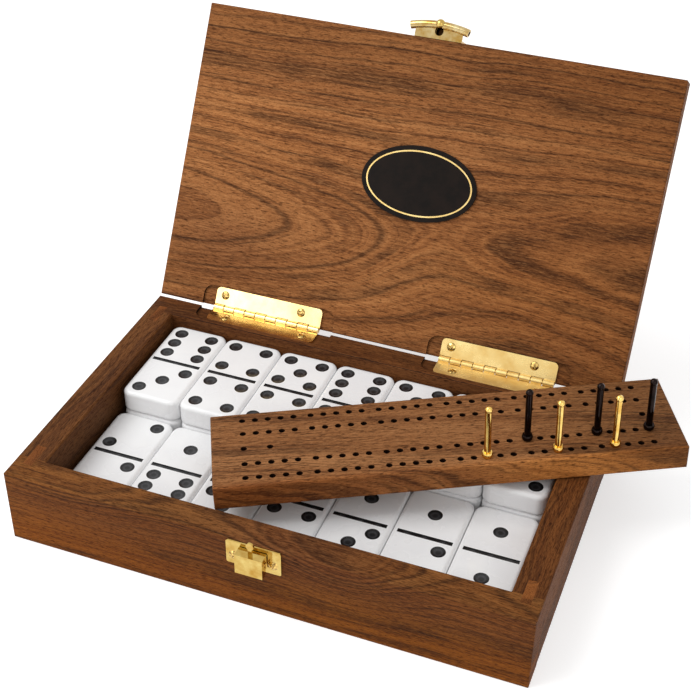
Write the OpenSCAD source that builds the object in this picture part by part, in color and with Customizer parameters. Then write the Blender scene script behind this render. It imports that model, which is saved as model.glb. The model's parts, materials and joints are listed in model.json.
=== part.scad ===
// Walnut domino box: a keyed-corner tray, a flat lid on two brass butt hinges, a sprung snap latch,
// two rows of double-six dominoes and a pegged scoring board that leans across the open tray.
// Millimetres. X runs along the front, Y from the front to the hinges, Z up from the table.

/* [Tray] */
// Thickness of the four wall boards
wall_t = 13; // [10:0.1:16]
// Thickness of the bottom panel
floor_t = 9.2; // [5:0.1:12]
// Height of the rim above the top layer of dominoes
rim_above = 5.2; // [4:0.1:10]
// Play at the ends of a row of dominoes
row_play = 3.4; // [1:0.1:8]
// Play between the front row and the front wall
front_play = 3.6; // [1:0.1:8]
// Width of the rabbet that takes the bottom panel
rabbet_w = 4; // [2:0.1:5]
// Thickness of the loose key in each corner joint
key_t = 4.2; // [2:0.1:5]
// Length of the loose key across the joint
key_l = 12.6; // [8:0.1:14]
// How much of the key stands in the long board
key_in = 4.4; // [3:0.1:6]
// Radius that the edges of the wood are eased to
ease_r = 0.8; // [0.3:0.1:1.5]

/* [Lid] */
// Thickness of the lid
lid_t = 12; // [9:0.5:16]
// Gap between the closed lid and the rim
lid_gap = 0.4; // [0.3:0.1:1]
// Angle that the open lid stands at, from closed
lid_open = 120; // [90:1:125]
// Length of the oval badge
badge_l = 56; // [30:1:80]
// Height of the oval badge
badge_h = 35; // [20:1:50]
// How far the badge stands off the lid
badge_t = 0.9; // [0.5:0.1:2]
// Distance of the badge's centre from the hinge edge
badge_up = 77.5; // [50:0.5:90]
// Sideways place of the badge's centre
badge_x = 4.5; // [-20:0.5:20]

/* [Hinges] */
// Distance of each hinge's centre from the middle of the box
hinge_x = 58; // [45:0.5:70]
// Length of a hinge
leaf_l = 55.5; // [40:0.5:60]
// Width of a leaf, from the back edge of the box
leaf_w = 9.8; // [8:0.1:11]
// Thickness of a leaf
leaf_t = 1.1; // [0.8:0.1:1.6]
// How far a leaf lies below the face of the wood
leaf_sunk = 0.25; // [0:0.05:0.5]
// Radius of a leaf's free corners
leaf_corner_r = 2.2; // [1:0.1:3]
// Number of knuckles in a hinge
knuckles = 10; // [6:2:12]
// Radius of the knuckles
barrel_r = 1.6; // [1.3:0.1:2.6]
// Gap between neighbouring knuckles
knuckle_gap = 0.45; // [0.1:0.05:0.6]
// Distance of the pin from the back face of the box
barrel_out = 0.4; // [0.2:0.1:1.6]
// Radius of the hinge pin
pin_r = 0.8; // [0.6:0.05:1.2]
// Extra length of the mortise at each end of a leaf
mortise_end = 6.6; // [3:0.1:9]
// Corner radius of the mortise
mortise_r = 5; // [3:0.5:7]

/* [Screws] */
// Head radius of the hinge screws
leaf_head_r = 1.9; // [1.5:0.1:2.4]
// Height of their domed heads above the leaf
leaf_head_h = 0.55; // [0.2:0.05:0.6]
// Radius of the screws' shanks
shank_r = 0.9; // [0.6:0.05:1.1]
// Length of a hinge screw
screw_l = 8; // [6:0.5:9]
// Head radius of the round-headed latch screws
round_head_r = 2.2; // [1.2:0.1:2.4]

/* [Latch] */
// Width of the latch's base plate
plate_w = 24; // [20:0.5:28]
// Height of the latch's base plate
plate_h = 12; // [11:0.1:14]
// Distance of the base plate's top below the rim
plate_drop = 0.8; // [0.4:0.1:2]
// Thickness of the latch's brass sheet
sheet_t = 0.9; // [0.7:0.05:1]
// Width of the thumb lever
lever_w = 12; // [11:0.1:14]
// Height of the thumb lever
lever_h = 9.7; // [10:0.1:12]
// How far the lever's face stands off the box
lever_out = 6; // [5.5:0.1:7]
// Radius of the tongue's round head
tongue_r = 1.7; // [1.3:0.05:1.8]
// Width of the lid's catch plate
catch_w = 22.8; // [18:0.1:26]
// Length of the catch's curled lip
lip_l = 28; // [24:0.5:30]
// Radius of the catch's curled lip
lip_r = 1.9; // [1.5:0.05:2]

/* [Dominoes] */
// Length of a domino
tile_l = 57; // [50:0.1:60]
// Width of a domino
tile_w = 28.45; // [25:0.05:30]
// Thickness of a domino
tile_t = 11.1; // [9:0.1:12.7]
// Gap between neighbouring dominoes
tile_gap = 0.3; // [0.2:0.05:0.5]
// Corner radius of a domino's face
tile_corner_r = 4.5; // [3:0.1:6]
// Edge radius of a domino
tile_edge_r = 2; // [1:0.1:2.5]
// Radius of a pip
pip_r = 3.3; // [2.5:0.05:3.5]
// Depth of a pip
pip_depth = 0.5; // [0.3:0.05:0.8]
// Distance of the outer pips from the middle of their half
pip_step = 7.9; // [7:0.05:8.5]
// Width of the bar between the halves
bar_w = 2.1; // [1:0.1:2.5]
// Distance of the bar's ends from the sides of the face
bar_end = 2.1; // [2.1:0.1:5]

/* [Scoring board] */
// Length of the scoring board
board_l = 199.5; // [180:0.5:204]
// Width of the scoring board
board_w = 48.4; // [40:0.1:56]
// Thickness of the scoring board
board_t = 11.6; // [9:0.1:13]
// Angle that the board lies at across the tray
board_turn = 26.6; // [20:0.1:30]
// Place of its near left corner, left of the middle of the box
board_left = 25.6; // [15:0.1:40]
// Distance of that corner from the front wall's inner face
board_front = 4.4; // [2:0.1:10]
// Radius of the peg holes
hole_r = 1.4; // [1.2:0.05:1.6]
// Depth of the peg holes
hole_depth = 7.5; // [6:0.5:9]
// Distance between neighbouring holes of a group
hole_pitch = 5.6; // [5:0.05:6]
// Distance between the last hole of a group and the first of the next
group_gap = 7.5; // [6.5:0.05:8]
// Distance from the board's edge to the outer rows of holes
row_edge = 5.3; // [4:0.1:8]
// Distance between the two rows of a pair
row_pitch = 8.9; // [7:0.1:10]

/* [Pegs] */
// Height of a peg above the board
peg_h = 26.2; // [20:0.1:30]
// Radius of a peg's stem
peg_r = 1.45; // [1.2:0.05:1.8]
// Radius of the ball collar that sits on the hole
collar_r = 2.4; // [2:0.05:2.8]
// Height of the collar between its flat ends
collar_h = 2.6; // [1.5:0.1:3]
// Radius of the bead at the top
bead_r = 1.65; // [1.5:0.05:2.2]
// Length of the shank in the hole
peg_in = 6; // [4:0.5:6]

/* [Hidden] */
$fn = 64;
cut = 1;          // how far a cutter runs past a face
play = 0.1;       // clearance of a fixed piece in its seat
turn_play = 0.05; // radial clearance of a turning fit
part_gap = 0.15;  // clearance between pieces that pass each other

tiles_in_row = 7;
tile_pitch = tile_w + tile_gap;
inner_x = (tiles_in_row * tile_pitch + row_play) / 2;
inner_y = (2 * (tile_l + tile_gap) + front_play) / 2;
box_w = 2 * (inner_x + wall_t);
box_d = 2 * (inner_y + wall_t);
layer_z = [floor_t, floor_t + tile_t];
tiles_top = floor_t + 2 * tile_t;
tray_h = tiles_top + rim_above;
front_y = -box_d / 2;
back_row_y = inner_y - tile_gap - tile_l;
front_row_y = back_row_y - tile_gap - tile_l;
back_row_shift = 0.6;  // share of the row's play that lies to the left of it
front_row_shift = 0.4;
back_row_x = -inner_x + back_row_shift * row_play;
front_row_x = -inner_x + front_row_shift * row_play;

axis_y = box_d / 2 + barrel_out;
axis_z = tray_h + lid_gap / 2;
lid_z = tray_h + lid_gap;
barrel_room = 0.4;            // room round the barrel in the wood
relief_r = barrel_r + barrel_room;
lower_face_z = tray_h - leaf_sunk;  // the leaves' faces, drawn closed
upper_face_z = lid_z + leaf_sunk;
mortise_l = leaf_l + 2 * mortise_end;
mortise_play = 0.3;           // room in front of a leaf
mortise_w = leaf_w + mortise_play;
knuckle_l = leaf_l / knuckles;
pin_short = 0.15;             // how far each end of a hinge pin lies inside its barrel
csk_play = 0.2;               // room round a head in its countersink
leaf_gap = 0.35;              // room round the other leaf's knuckles
slot_w = 0.6;
slot_depth = 0.6;
cross_l = 2.4;                // length of the cross recess in a hinge screw
screw_back = 6.1;             // distance of the leaf screws from the back edge
lower_screws = [-19, 21];     // their places along the lower leaf
upper_screws = [-23, 17];     // and along the upper leaf
leaf_screw_turn = 30;         // the angles that the screws of the two hinges stopped at
lid_screw_turn = 50;

plate_z = tray_h - plate_drop - plate_h;
plate_corner_r = 0.8;
lever_up = 0.5;               // of the lever's lower edge above the plate's
lever_z = plate_z + lever_up;
lever_corner_r = 0.4;
pin_up = 4.4;                 // of the lever's pin above the plate's lower edge
latch_pin_z = plate_z + pin_up;
latch_pin_out = 3.2;
latch_pin_r = 0.6;
latch_pin_proud = 0.3;
latch_screw_x = 8.6;
latch_screw_up = 4.6;
latch_screw_z = plate_z + latch_screw_up;
ear_r = 1.6;
ear_t = 0.8;
ear_x = lever_w / 2 - 2.6;
ledge_gap = 0.25;             // between the lever's ledge and the plate
tongue_out = 3.6;
tongue_up = 2.3;
tongue_top = lid_z + sheet_t + tongue_up;
tongue_w = 1.7;
tongue_play = 0.35;
spring_wire = 0.5;
spring_r = 1.4;
spring_coils = 9;
spring_leg = 3.2;
catch_h = 9;
lip_bow_r = 55;
lip_out = 6.5;
lip_wall = 0.7;
lip_up = 0.6;          // height of its middle above the web's underside, drawn closed
cup_r = 2.6;           // the cup that hides the tongue: radius, wall, and room above the tongue
cup_wall = 0.6;
cup_room = 0.5;
boss_r = 2.2;
boss_stand = 0.5;      // from the lip's middle out to the boss's middle
boss_out = lip_out + boss_stand;
boss_up = -0.2;
boss_play = 0.06;      // room for the lip's bow under the boss
catch_screw_x = 8.6;
catch_screw_up = 5.4;  // above the lid's underside
catch_screw_z = lid_z + catch_screw_up;

board_ease = 1;
board_clear = 0.15;
groups = 6;
group_holes = 5;
group_pitch = (group_holes - 1) * hole_pitch + group_gap;
grid_l = (groups - 1) * group_pitch + (group_holes - 1) * hole_pitch;
hole_start = (board_l - grid_l) / 2;
hole_rows = [row_edge, row_edge + row_pitch, board_w - row_edge - row_pitch, board_w - row_edge];

// The set in order, from 1-1 to 6-6. The front row holds the first seven from the right, then the
// lower layer of the back row the next seven from the left, and the upper layer the last seven.
domino_set = [for (low = [1:6], high = [low:6]) [low, high]];
pip_places = [
    [],
    [[0, 0]],
    [[1, 1], [-1, -1]],
    [[1, 1], [0, 0], [-1, -1]],
    [[1, 1], [1, -1], [-1, 1], [-1, -1]],
    [[1, 1], [1, -1], [0, 0], [-1, 1], [-1, -1]],
    [[1, 1], [1, 0], [1, -1], [-1, 1], [-1, 0], [-1, -1]],
];

// Pegs: [row, group, hole], each counted from 0 at the near left
gold_pegs = [[0, 3, 2], [0, 4, 2], [0, 5, 1]];
black_pegs = [[1, 4, 0], [1, 5, 0], [1, 5, 4]];

wood = "#5a3a26";
wood_dark = "#4a2e1e";
brass = "#c9a24a";
gunmetal = "#3a3433";
ivory = "#f2f1ec";
black = "#1c1512";

// ---- shared shapes ----

// A rectangle about the origin with round corners
module round_rect(size, r) {
    square([size.x - 2 * r, size.y], center = true);
    square([size.x, size.y - 2 * r], center = true);
    for (x = [-1, 1], y = [-1, 1])
        translate([x * (size.x / 2 - r), y * (size.y / 2 - r)]) circle(r);
}

// A block from the origin with every edge rounded: corner_r up the Z edges, edge_r on the others
module eased_block(size, corner_r, edge_r) {
    translate(size / 2)
        intersection() {
            linear_extrude(size.z + 2 * cut, center = true) round_rect([size.x, size.y], corner_r);
            rotate([90, 0, 0])
                linear_extrude(size.y + 2 * cut, center = true) round_rect([size.x, size.z], edge_r);
            rotate([90, 0, 90])
                linear_extrude(size.x + 2 * cut, center = true) round_rect([size.y, size.z], edge_r);
        }
}

// A block from the origin that is smooth all round: corner_r up the Z edges, edge_r round both faces
module pebble_block(size, corner_r, edge_r) {
    inner = [size.x - 2 * corner_r, size.y - 2 * corner_r];
    translate([corner_r, 0, 0])
        rotate([90, 0, 90]) linear_extrude(inner.x) translate([size.y / 2, size.z / 2])
            round_rect([size.y, size.z], edge_r);
    translate([0, size.y - corner_r, 0])
        rotate([90, 0, 0])
            linear_extrude(inner.y) half_profile(size.z, corner_r, edge_r);
    translate([size.x, corner_r, 0])
        rotate([90, 0, 180])
            linear_extrude(inner.y) half_profile(size.z, corner_r, edge_r);
    for (x = [0, 1], y = [0, 1])
        translate([corner_r + x * inner.x, corner_r + y * inner.y, 0])
            rotate([0, 0, quarter_turn(x, y)])
                rotate_extrude(angle = 90)
                    mirror([1, 0]) translate([-corner_r, 0]) half_profile(size.z, corner_r, edge_r);
}

// From a block's side to the middle of its corner, with both edges round
module half_profile(height, width, r) {
    translate([r, 0]) square([width - r, height]);
    translate([0, r]) square([r, height - 2 * r]);
    for (y = [r, height - r])
        translate([r, y])
            intersection() {
                circle(r);
                translate([-r, -r]) square([r, 2 * r]);
            }
}

function quarter_turn(x, y) = x == 1 ? (y == 1 ? 0 : 270) : (y == 1 ? 90 : 180);

// Cutter that eases an edge running along +X, with the wood on its -Y and -Z sides
module ease_edge(length, r) {
    translate([0, -r, -r])
        rotate([90, 0, 90])
            linear_extrude(length)
                difference() {
                    square(r + cut);
                    circle(r);
                }
}

// The same cutter along +Y, with the wood on the -X and -Z sides
module ease_edge_y(length, r) {
    mirror([1, -1, 0]) ease_edge(length, r);
}

// The same cutter up +Z, with the wood on the -X and -Y sides
module ease_edge_z(length, r) {
    translate([-r, -r, 0])
        linear_extrude(length)
            difference() {
                square(r + cut);
                circle(r);
            }
}

module along_x(length, r) {
    rotate([0, 90, 0]) cylinder(h = length, r = r, center = true);
}

// ---- tray ----

// One full-length board on the -Y side, with everything that both long boards have
module long_board() {
    y_in = -inner_y;
    difference() {
        translate([-box_w / 2, front_y, 0]) cube([box_w, wall_t, tray_h]);
        translate([-inner_x - rabbet_w, y_in - rabbet_w, -cut])
            cube([2 * (inner_x + rabbet_w), rabbet_w + cut, floor_t + cut]);
        for (s = [0, 1]) mirror([s, 0, 0]) {
            corner_slot();
            translate([box_w / 2, front_y, 0]) mirror([0, 1, 0])
                translate([0, 0, -cut]) ease_edge_z(tray_h + 2 * cut, ease_r);
            translate([box_w / 2, front_y - cut, tray_h]) ease_edge_y(wall_t + cut, ease_r);
        }
        translate([-box_w / 2 - cut, front_y, tray_h]) mirror([0, 1, 0]) ease_edge(box_w + 2 * cut, ease_r);
        translate([-box_w / 2 - cut, front_y, 0])
            mirror([0, 1, 0]) mirror([0, 0, 1]) ease_edge(box_w + 2 * cut, ease_r);
        translate([-inner_x, y_in, tray_h]) ease_edge(2 * inner_x, ease_r);
    }
}

// The slot for the loose key of the right front corner
module corner_slot() {
    translate([inner_x + wall_t / 2 - key_t / 2, -inner_y - key_in, -cut])
        cube([key_t, key_l, tray_h + 2 * cut]);
}

module front_wall() {
    color(wood)
        difference() {
            long_board();
            for (s = [-1, 1])
                translate([s * latch_screw_x, front_y - cut, latch_screw_z])
                    rotate([-90, 0, 0]) cylinder(h = screw_l + cut, r = shank_r + play);
        }
}

module back_wall() {
    color(wood)
        difference() {
            mirror([0, 1, 0]) long_board();
            for (s = [-1, 1]) translate([s * hinge_x, 0, 0]) {
                translate([0, 0, lower_face_z - leaf_t])
                    linear_extrude(leaf_t + leaf_sunk + cut) mortise_outline();
                translate([0, axis_y, axis_z]) along_x(mortise_l, relief_r);
                for (x = lower_screws)
                    translate([x, box_d / 2 - screw_back, tray_h - screw_l - cut])
                        cylinder(h = screw_l, r = shank_r + play);
            }
        }
}

// The right-hand board between the long boards
module side_board() {
    difference() {
        translate([inner_x, -inner_y, 0]) cube([wall_t, 2 * inner_y, tray_h]);
        translate([inner_x - cut, -inner_y - cut, -cut])
            cube([rabbet_w + cut, 2 * (inner_y + cut), floor_t + cut]);
        for (s = [0, 1]) mirror([0, s, 0]) corner_slot();
        translate([box_w / 2, -inner_y - cut, tray_h]) ease_edge_y(2 * (inner_y + cut), ease_r);
        translate([box_w / 2, -inner_y - cut, 0])
            mirror([0, 0, 1]) ease_edge_y(2 * (inner_y + cut), ease_r);
        translate([inner_x, -inner_y, tray_h]) mirror([1, 0, 0]) ease_edge_y(2 * inner_y, ease_r);
    }
}

module right_wall() {
    color(wood_dark) side_board();
}

module left_wall() {
    color(wood_dark) mirror([1, 0, 0]) side_board();
}

// The panel fills the rabbet, and its underside is flush with the feet of the walls
module bottom_panel() {
    reach = rabbet_w - play;
    color(wood_dark)
        translate([-inner_x - reach, -inner_y - reach, 0])
            cube([2 * (inner_x + reach), 2 * (inner_y + reach), floor_t]);
}

// Four loose keys, one up each corner joint
module corner_keys() {
    color(wood)
        for (sx = [0, 1], sy = [0, 1]) mirror([sx, 0, 0]) mirror([0, sy, 0])
            translate([inner_x + wall_t / 2 - key_t / 2, -inner_y - key_in, 0])
                cube([key_t, key_l, tray_h]);
}

// ---- lid, drawn closed and then swung open about the hinge pins ----

module swing_open() {
    translate([0, axis_y, axis_z])
        rotate([-lid_open, 0, 0])
            translate([0, -axis_y, -axis_z]) children();
}

module lid_panel() {
    color(wood)
        swing_open()
            difference() {
                translate([-box_w / 2, front_y, lid_z]) eased_block([box_w, box_d, lid_t], ease_r, ease_r);
                for (s = [-1, 1]) translate([s * hinge_x, 0, 0]) {
                    translate([0, 0, lid_z - cut])
                        linear_extrude(leaf_t + leaf_sunk + cut) mortise_outline();
                    translate([0, axis_y, axis_z]) along_x(mortise_l, relief_r);
                    for (x = upper_screws)
                        translate([x, box_d / 2 - screw_back, lid_z + cut])
                            cylinder(h = screw_l, r = shank_r + play);
                }
                for (s = [-1, 1])
                    translate([s * catch_screw_x, front_y - cut, catch_screw_z])
                        rotate([-90, 0, 0]) cylinder(h = screw_l + cut, r = shank_r + play);
            }
}

module oval(length, height) {
    step = 4;
    polygon([for (a = [0:step:360 - step]) [length / 2 * cos(a), height / 2 * sin(a)]]);
}

badge_band = 2.2;  // from the badge's edge to its ring
ring_w = 0.7;
ring_depth = 0.4;

module ring_outline() {
    difference() {
        oval(badge_l - 2 * badge_band, badge_h - 2 * badge_band);
        oval(badge_l - 2 * (badge_band + ring_w), badge_h - 2 * (badge_band + ring_w));
    }
}

// An oval plate on the lid's inner face, with a groove for its ring
module badge_plate() {
    color(black)
        swing_open()
            translate([badge_x, box_d / 2 - badge_up, lid_z - badge_t])
                difference() {
                    linear_extrude(badge_t) oval(badge_l, badge_h);
                    translate([0, 0, -cut]) linear_extrude(ring_depth + cut) ring_outline();
                }
}

module badge_ring() {
    color(brass)
        swing_open()
            translate([badge_x, box_d / 2 - badge_up, lid_z - badge_t])
                linear_extrude(ring_depth) ring_outline();
}

// ---- hinges ----

// The mortise seen from above: open at the back, round at the cutter's corners
module mortise_outline() {
    translate([0, box_d / 2 - mortise_w / 2]) round_rect([mortise_l, mortise_w], mortise_r);
    translate([-mortise_l / 2, box_d / 2 - mortise_w / 2]) square([mortise_l, mortise_w]);
}

module leaf_outline() {
    r = leaf_corner_r;
    front = box_d / 2 - leaf_w;
    translate([-leaf_l / 2, front + r]) square([leaf_l, axis_y - front - r]);
    translate([-leaf_l / 2 + r, front]) square([leaf_l - 2 * r, 2 * r]);
    for (s = [-1, 1]) translate([s * (leaf_l / 2 - r), front + r]) circle(r);
}

// One leaf about the middle of its hinge. side 0 is the lower leaf, which has the first knuckle.
module leaf(side) {
    face_z = side == 0 ? lower_face_z : upper_face_z;
    screw_x = side == 0 ? lower_screws : upper_screws;
    difference() {
        union() {
            translate([0, 0, face_z - (1 - side) * leaf_t]) linear_extrude(leaf_t) leaf_outline();
            for (k = [side:2:knuckles - 1])
                translate([knuckle_x(k), axis_y, axis_z]) along_x(knuckle_l - knuckle_gap, barrel_r);
        }
        for (k = [1 - side:2:knuckles - 1])
            translate([knuckle_x(k), axis_y, axis_z]) along_x(knuckle_l + knuckle_gap, barrel_r + leaf_gap);
        translate([0, axis_y, axis_z]) along_x(leaf_l + 2 * cut, pin_r + turn_play);
        for (x = screw_x)
            translate([x, box_d / 2 - screw_back, face_z]) mirror([0, 0, side]) csk_hole();
    }
}

function knuckle_x(k) = (k + 0.5) * knuckle_l - leaf_l / 2;

module csk_hole() {
    translate([0, 0, -leaf_t]) cylinder(h = leaf_t, r1 = shank_r + play, r2 = leaf_head_r + csk_play);
    translate([0, 0, -leaf_t - cut]) cylinder(h = leaf_t + 2 * cut, r = shank_r + play);
    cylinder(h = cut, r = leaf_head_r + csk_play);
}

// A raised countersunk screw with a cross recess, its countersink's rim at the origin
module leaf_screw() {
    dome_r = (leaf_head_r * leaf_head_r + leaf_head_h * leaf_head_h) / (2 * leaf_head_h);
    point = 2;
    difference() {
        union() {
            intersection() {
                translate([0, 0, leaf_head_h - dome_r]) sphere(dome_r);
                cylinder(h = leaf_head_h + cut, r = leaf_head_r);
            }
            rotate_extrude()
                polygon([[0, 0], [leaf_head_r, 0], [shank_r, -leaf_t], [shank_r, -screw_l + point],
                         [0, -screw_l + point / 4]]);
        }
        for (a = [0, 90])
            rotate([0, 0, a])
                translate([-cross_l / 2, -slot_w / 2, leaf_head_h - slot_depth])
                    cube([cross_l, slot_w, slot_depth + cut]);
    }
}

module left_lower_leaf() {
    color(brass) translate([-hinge_x, 0, 0]) leaf(0);
}

module right_lower_leaf() {
    color(brass) translate([hinge_x, 0, 0]) leaf(0);
}

module left_upper_leaf() {
    color(brass) swing_open() translate([-hinge_x, 0, 0]) leaf(1);
}

module right_upper_leaf() {
    color(brass) swing_open() translate([hinge_x, 0, 0]) leaf(1);
}

module hinge_pin() {
    translate([0, axis_y, axis_z]) along_x(leaf_l - 2 * pin_short, pin_r);
}

module left_hinge_pin() {
    color(brass) translate([-hinge_x, 0, 0]) hinge_pin();
}

module right_hinge_pin() {
    color(brass) translate([hinge_x, 0, 0]) hinge_pin();
}

module lower_leaf_screws() {
    color(brass)
        for (s = [-1, 1], x = lower_screws)
            translate([s * hinge_x + x, box_d / 2 - screw_back, lower_face_z])
                rotate([0, 0, leaf_screw_turn * s + x]) leaf_screw();
}

module upper_leaf_screws() {
    color(brass)
        swing_open()
            for (s = [-1, 1], x = upper_screws)
                translate([s * hinge_x + x, box_d / 2 - screw_back, upper_face_z])
                    mirror([0, 0, 1]) rotate([0, 0, lid_screw_turn * s + x]) leaf_screw();
}

// ---- latch: a base plate with a sprung thumb lever, whose tongue snaps into the lid's catch ----

// A sheet standing on the front face: outline in X and Z, from `out` to `out + t` in front of the box
module on_front(out, t) {
    translate([0, front_y - out, 0]) rotate([90, 0, 0]) linear_extrude(t) children();
}

module latch_plate() {
    color(brass)
        difference() {
            union() {
                on_front(0, sheet_t)
                    translate([0, plate_z + plate_h / 2]) round_rect([plate_w, plate_h], plate_corner_r);
                for (s = [-1, 1]) translate([s * ear_x, 0, 0]) {
                    translate([-ear_t / 2, front_y - latch_pin_out, latch_pin_z - ear_r])
                        cube([ear_t, latch_pin_out - sheet_t / 2, 2 * ear_r]);
                    translate([0, front_y - latch_pin_out, latch_pin_z]) along_x(ear_t, ear_r);
                }
            }
            translate([0, front_y - latch_pin_out, latch_pin_z])
                along_x(lever_w, latch_pin_r + turn_play / 2);
            for (s = [-1, 1])
                translate([s * latch_screw_x, front_y + cut, latch_screw_z])
                    rotate([90, 0, 0]) cylinder(h = sheet_t + 2 * cut, r = shank_r + play);
        }
}

// The lever's cheek in Y and Z, with its foot cut back so that it can be pressed in
module cheek() {
    back = 1.6;    // from the box to the cheek's back edge, above the pin and below it
    foot = 2.6;
    toe = 0.6;     // the corner cut off the foot
    toe_up = 0.8;
    slope = [-2, 1];  // where the back edge slopes from one to the other, from the pin
    rotate([90, 0, 90])
        linear_extrude(ear_t, center = true)
            polygon([[front_y - back, lever_z + lever_h], [front_y - lever_out, lever_z + lever_h],
                     [front_y - lever_out, lever_z], [front_y - foot - toe, lever_z],
                     [front_y - foot, lever_z + toe_up], [front_y - foot, latch_pin_z + slope[0]],
                     [front_y - back, latch_pin_z + slope[1]]]);
}

module latch_lever() {
    top = lever_z + lever_h;
    color(brass)
        difference() {
            union() {
                on_front(lever_out - ear_t, ear_t)
                    translate([0, lever_z + lever_h / 2]) round_rect([lever_w, lever_h], lever_corner_r);
                translate([-lever_w / 2, front_y - lever_out + ear_t / 2, top - ear_t])
                    cube([lever_w, lever_out - ear_t / 2 - sheet_t - ledge_gap, ear_t]);
                for (s = [-1, 1]) translate([s * (lever_w - ear_t) / 2, 0, 0]) cheek();
                on_front(tongue_out - sheet_t / 2, sheet_t) {
                    translate([-tongue_w / 2, top - ear_t]) square([tongue_w, tongue_top - tongue_r - top + ear_t]);
                    translate([0, tongue_top - tongue_r]) circle(tongue_r);
                }
            }
            translate([0, front_y - latch_pin_out, latch_pin_z])
                along_x(lever_w + 2 * cut, latch_pin_r + turn_play);
        }
}

module latch_pin() {
    color(brass)
        translate([0, front_y - latch_pin_out, latch_pin_z]) along_x(lever_w + 2 * latch_pin_proud, latch_pin_r);
}

// A close-wound torsion spring on the pin: one leg up the plate, one down behind the lever's face
module latch_spring() {
    half = (spring_coils - 1) * spring_wire / 2;
    weld = 1.04;  // the coils press into each other by this much, so that they are one solid
    color(brass)
        translate([0, front_y - latch_pin_out, latch_pin_z]) {
            for (i = [0:spring_coils - 1])
                translate([i * spring_wire - half, 0, 0])
                    rotate([0, 90, 0])
                        rotate_extrude()
                            translate([spring_r, 0]) circle(weld * spring_wire / 2, $fn = 24);
            translate([-half, spring_r, 0]) cylinder(h = spring_leg, r = spring_wire / 2, $fn = 24);
            translate([half, -spring_r, -spring_leg])
                cylinder(h = spring_leg, r = spring_wire / 2, $fn = 24);
        }
}

// A round-headed screw with its axis along +Y and its seat at the origin
module round_screw() {
    head_h = 1;
    slot_turn = 35;
    end_play = 0.5;  // between the screw's point and the end of its hole
    dome_r = (round_head_r * round_head_r + head_h * head_h) / (2 * head_h);
    difference() {
        union() {
            intersection() {
                translate([0, dome_r - head_h, 0]) sphere(dome_r);
                rotate([90, 0, 0]) cylinder(h = head_h + cut, r = round_head_r);
            }
            rotate([-90, 0, 0]) cylinder(h = screw_l - end_play, r = shank_r);
        }
        rotate([0, slot_turn, 0]) translate([-slot_w / 2, -head_h - cut, -round_head_r - cut])
            cube([slot_w, cut + slot_depth, 2 * (round_head_r + cut)]);
    }
}

module latch_screws() {
    color(brass)
        for (s = [-1, 1])
            translate([s * latch_screw_x, front_y - sheet_t, latch_screw_z]) round_screw();
}

// The curled lip's bow: `arc` degrees of a ring about a centre far behind it
module on_bow(arc) {
    translate([0, front_y - lip_out + lip_bow_r, lid_z + lip_up])
        rotate([0, 0, -90 - arc / 2])
            rotate_extrude(angle = arc) translate([lip_bow_r, 0]) children();
}

// The lid's catch: a plate on the front edge, a web with a cup over the tongue's hole, and a curled lip
module catch_plate() {
    web_r = lip_bow_r - lip_r + lip_wall / 2;
    cup_h = tongue_top - lid_z + cup_room;
    color(brass)
        swing_open()
            difference() {
                union() {
                    on_front(0, sheet_t)
                        translate([0, lid_z + catch_h / 2]) round_rect([catch_w, catch_h], plate_corner_r);
                    translate([0, 0, lid_z])
                        linear_extrude(sheet_t)
                            intersection() {
                                translate([-catch_w / 2, front_y - lip_out]) square([catch_w, lip_out]);
                                translate([0, front_y - lip_out + lip_bow_r]) circle(web_r, $fn = 256);
                            }
                    on_bow(2 * asin(lip_l / 2 / lip_bow_r))
                        difference() {
                            circle(lip_r);
                            circle(lip_r - lip_wall);
                        }
                    translate([0, front_y - tongue_out, lid_z])
                        cylinder(h = cup_h + cup_wall, r = cup_r + cup_wall);
                }
                translate([0, front_y - tongue_out, lid_z + sheet_t]) cylinder(h = cup_h - sheet_t, r = cup_r);
                translate([0, front_y - tongue_out, lid_z - lip_r])
                    cylinder(h = lip_r + cup_h - cut, r = tongue_r + tongue_play);
                for (s = [-1, 1])
                    translate([s * catch_screw_x, front_y + cut, catch_screw_z])
                        rotate([90, 0, 0]) cylinder(h = sheet_t + 2 * cut, r = shank_r + play);
            }
}

// The ball that caps the middle of the lip
module catch_boss() {
    color(brass)
        swing_open()
            difference() {
                translate([0, front_y - boss_out, lid_z + boss_up]) sphere(boss_r);
                translate([0, front_y - lip_out, lid_z + lip_up]) along_x(3 * boss_r, lip_r + boss_play);
            }
}

module catch_screws() {
    color(brass)
        swing_open()
            for (s = [-1, 1])
                translate([s * catch_screw_x, front_y - sheet_t, catch_screw_z]) round_screw();
}

// ---- scoring board: it leans on the back row's front edge, the right wall and the back wall ----

function unit(v) = v / norm(v);
turn = [cos(board_turn), sin(board_turn)];
across = [-turn.y, turn.x];
near_corner = [-board_left, -inner_y + board_front];
far_corner = near_corner + board_w * across;
function on_far_edge(y) = far_corner + turn * ((y - far_corner.y) / turn.y);
function on_near_edge(x) = near_corner + turn * ((x - near_corner.x) / turn.x);
function raised(p, z) = [p.x, p.y, z];
rest_back = raised(on_far_edge(inner_y), tray_h);
rest_right = raised(on_near_edge(inner_x), tray_h);
rest_tiles = raised(on_far_edge(back_row_y), tiles_top);
lean = cross(rest_right - rest_back, rest_tiles - rest_back);
board_n = unit(lean * sign(lean.z));
near_z = rest_back.z + board_clear
    - ((near_corner.x - rest_back.x) * board_n.x + (near_corner.y - rest_back.y) * board_n.y) / board_n.z;
flat_turn = [turn.x, turn.y, 0];
board_ex = unit(flat_turn - board_n * (flat_turn * board_n));
board_ey = cross(board_n, board_ex);

// Places what is drawn flat, with the board's near left bottom corner at the origin
module on_board() {
    multmatrix([[board_ex.x, board_ey.x, board_n.x, near_corner.x],
                [board_ex.y, board_ey.y, board_n.y, near_corner.y],
                [board_ex.z, board_ey.z, board_n.z, near_z],
                [0, 0, 0, 1]])
        children();
}

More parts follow.
